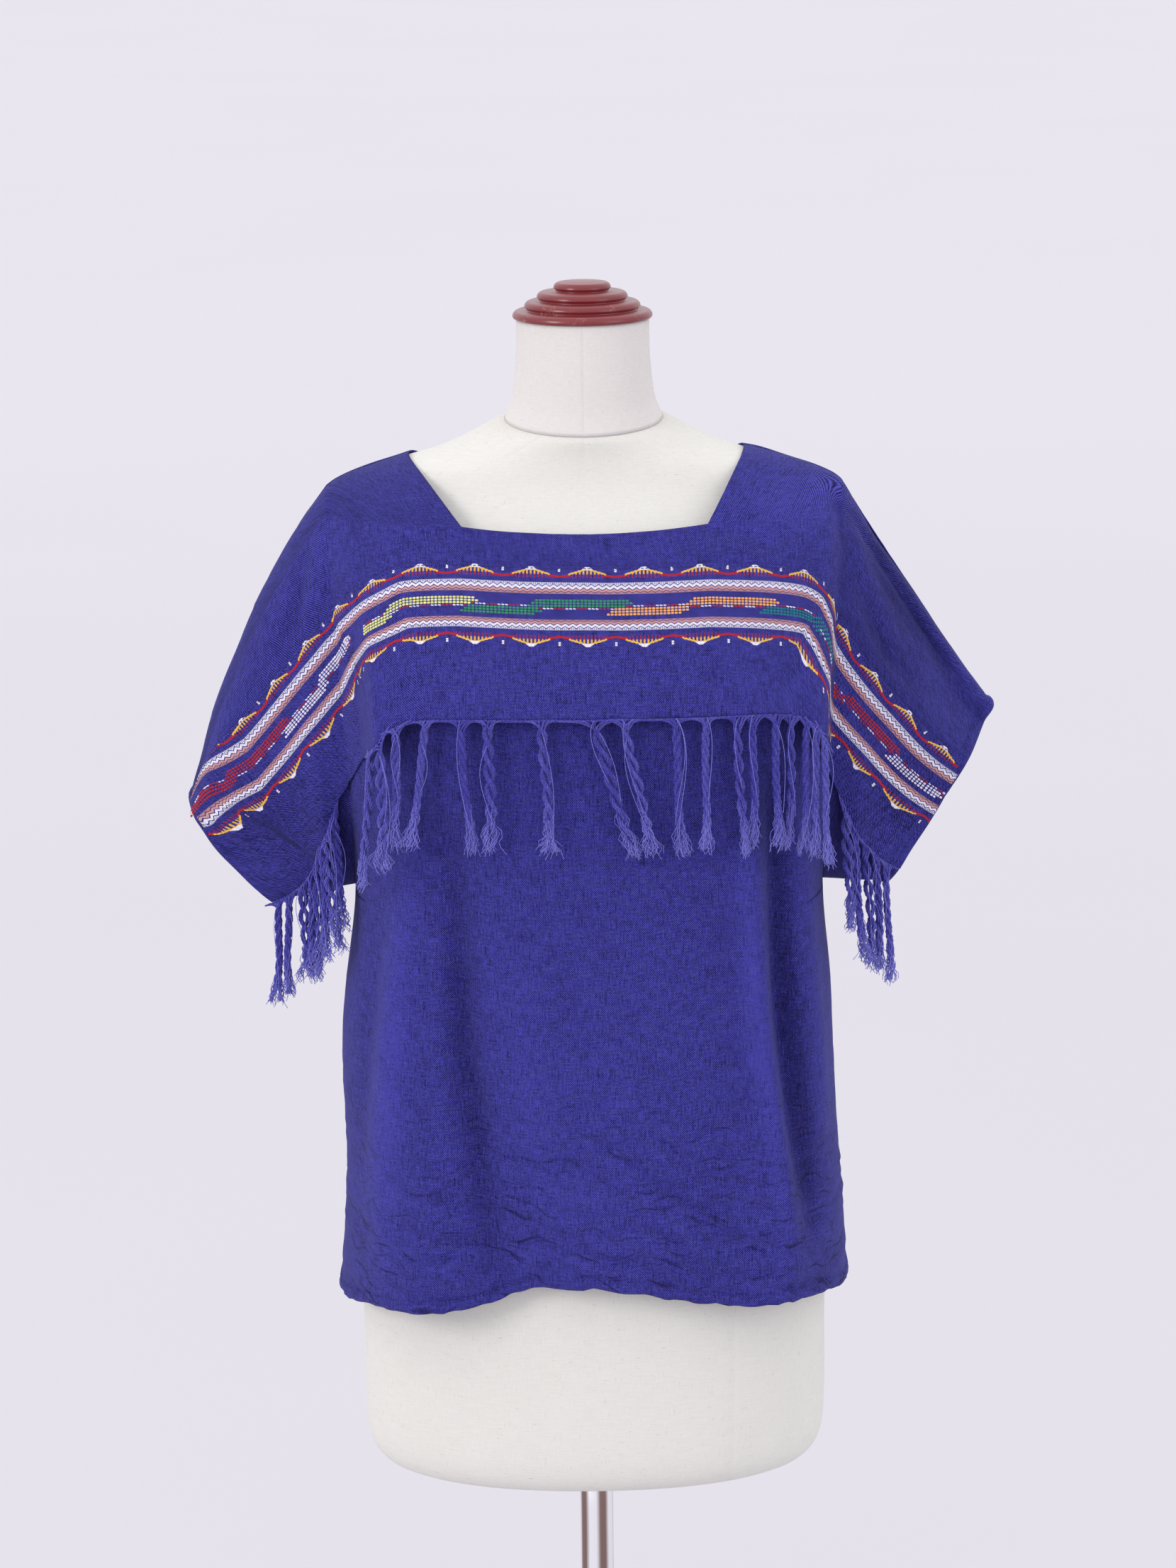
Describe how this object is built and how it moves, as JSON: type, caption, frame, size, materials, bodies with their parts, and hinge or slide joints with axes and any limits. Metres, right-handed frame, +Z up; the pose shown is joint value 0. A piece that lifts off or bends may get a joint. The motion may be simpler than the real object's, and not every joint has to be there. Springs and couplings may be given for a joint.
{
  "type": "woven fringed top and limbless dress form",
  "caption": "Square-neck cotton top with wide short sleeves and a fringed brocade flounce from cuff to cuff, worn by a limbless dress form on a pole and round foot.",
  "frame": {"origin": "centre of the round foot's flat underside, on the floor under the pole", "axes": "+Z up along the pole, the front of the top faces -Y, and +X is towards the right side of the picture"},
  "size_m": [0.5876, 0.3, 1.4167],
  "materials": {
    "indigo_cotton": "slubbed indigo cotton twill",
    "brocade_cotton": "indigo cotton twill with bands of supplementary weft in white, peach, red, yellow, green, orange and teal",
    "fringe_thread": "twisted periwinkle cotton thread",
    "form_linen": "natural linen over a hard shell",
    "neck_linen": "natural linen over a hard shell",
    "cap_lacquer": "dark red gloss lacquer on turned wood",
    "pole_chrome": "polished chrome plate",
    "foot_enamel": "satin grey metal"
  },
  "bodies": {
    "root": {"front": "indigo_cotton", "back": "indigo_cotton", "flounce": "brocade_cotton", "fringe_chest": "fringe_thread", "fringe_left": "fringe_thread", "fringe_right": "fringe_thread", "form_torso": "form_linen", "form_neck": "neck_linen", "neck_cap": "cap_lacquer", "stand_pole": "pole_chrome", "stand_foot": "foot_enamel"}
  },
  "joints": []
}
